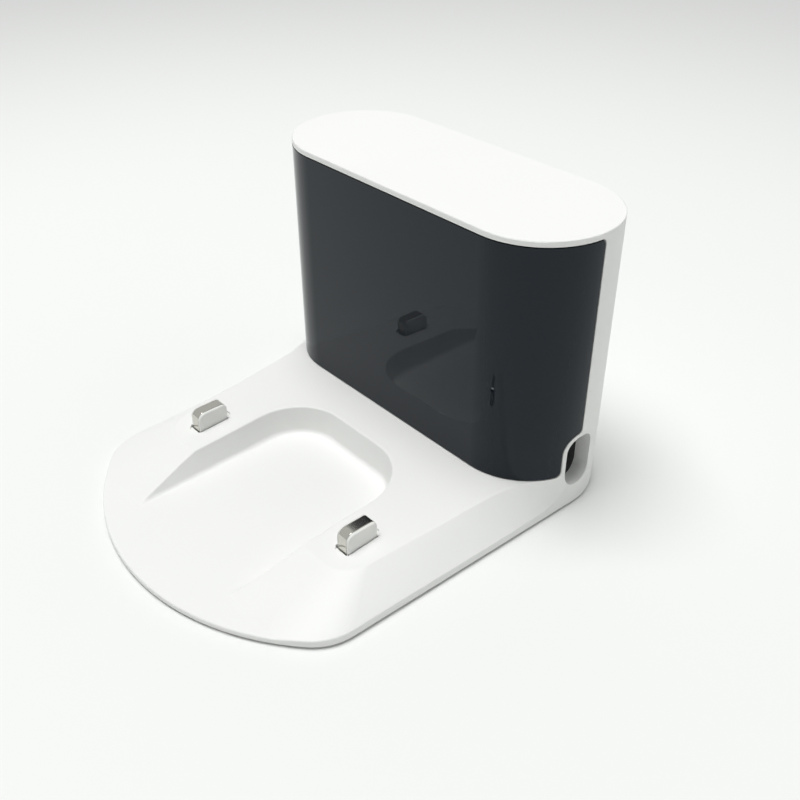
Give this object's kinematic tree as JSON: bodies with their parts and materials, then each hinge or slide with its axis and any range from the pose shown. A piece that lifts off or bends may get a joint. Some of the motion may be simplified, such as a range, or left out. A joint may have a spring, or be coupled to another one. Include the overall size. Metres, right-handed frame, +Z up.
{
  "type": "robot vacuum charging dock",
  "caption": "Robot vacuum charging dock: sloping deck with sprung contacts and a caster pocket, rounded tower with a smoked front window, and a cord bay behind a lift-off rear cover.",
  "frame": {"origin": "middle of the footprint, on the floor", "axes": "+Z up, +Y towards the wall behind the tower, the robot drives up from -Y"},
  "size_m": [0.13, 0.152, 0.098],
  "materials": {
    "white_shell": "satin moulded",
    "smoked_window": "polished smoked",
    "base_plastic": "fine grained",
    "screw_steel": "zinc plated",
    "foot_rubber": "matt",
    "bay_plastic": "satin moulded",
    "black_plastic": "satin moulded",
    "plain_brass": "drawn",
    "circuit_board": "solder resist",
    "ferrite": "sintered",
    "winding_tape": "tape",
    "capacitor_sleeve": "shrunk sleeve",
    "copper_wire": "enamelled",
    "yellow_block": "moulded",
    "bare_aluminium": "extruded",
    "emitter_resin": "clear tinted",
    "lead_insulation": "extruded",
    "contact_plastic": "satin moulded",
    "bright_nickel": "bright nickel plate",
    "spring_steel": "drawn wire"
  },
  "bodies": {
    "dock": {"main_shell": "white_shell", "front_panel": "smoked_window", "bottom_plate": "base_plastic", "plate_screws": "screw_steel", "rubber_feet": "foot_rubber", "cord_bay": "bay_plastic", "bay_screws": "screw_steel", "ac_inlet": "black_plastic", "inlet_pins": "plain_brass", "power_board": "circuit_board", "board_screws": "screw_steel", "transformer_core": "ferrite", "transformer_winding": "winding_tape", "bulk_capacitor": "capacitor_sleeve", "output_capacitors": "capacitor_sleeve", "filter_choke": "copper_wire", "line_capacitor": "yellow_block", "fuse": "black_plastic", "heat_sink": "bare_aluminium", "switch_transistor": "black_plastic", "ir_board": "circuit_board", "ir_screws": "screw_steel", "ir_shroud": "black_plastic", "ir_emitters": "emitter_resin", "ir_ribbon": "lead_insulation", "contact_spring_left": "spring_steel", "contact_spring_right": "spring_steel", "contact_housing_left": "black_plastic", "contact_housing_right": "black_plastic", "contact_terminal_left": "plain_brass", "contact_terminal_right": "plain_brass", "contact_lead_left": "lead_insulation", "contact_lead_right": "lead_insulation"},
    "contact_left": {"contact_core_left": "contact_plastic", "contact_strip_left": "bright_nickel"},
    "contact_right": {"contact_core_right": "contact_plastic", "contact_strip_right": "bright_nickel"},
    "cover": {"rear_cover": "white_shell"}
  },
  "joints": [
    {"name": "contact_left_press", "type": "slide", "parent": "dock", "child": "contact_left", "axis": [0, 0, -1], "range_m": [0, 0.003], "stiffness_N_per_m": 250, "springref_m": -0.002, "deforming": ["contact_spring_left"]},
    {"name": "contact_right_press", "type": "slide", "parent": "dock", "child": "contact_right", "axis": [0, 0, -1], "range_m": [0, 0.003], "stiffness_N_per_m": 250, "springref_m": -0.002, "deforming": ["contact_spring_right"]},
    {"name": "rear_cover_pull", "type": "slide", "parent": "dock", "child": "cover", "axis": [0, 1, 0], "range_m": [0, 0.03]}
  ]
}
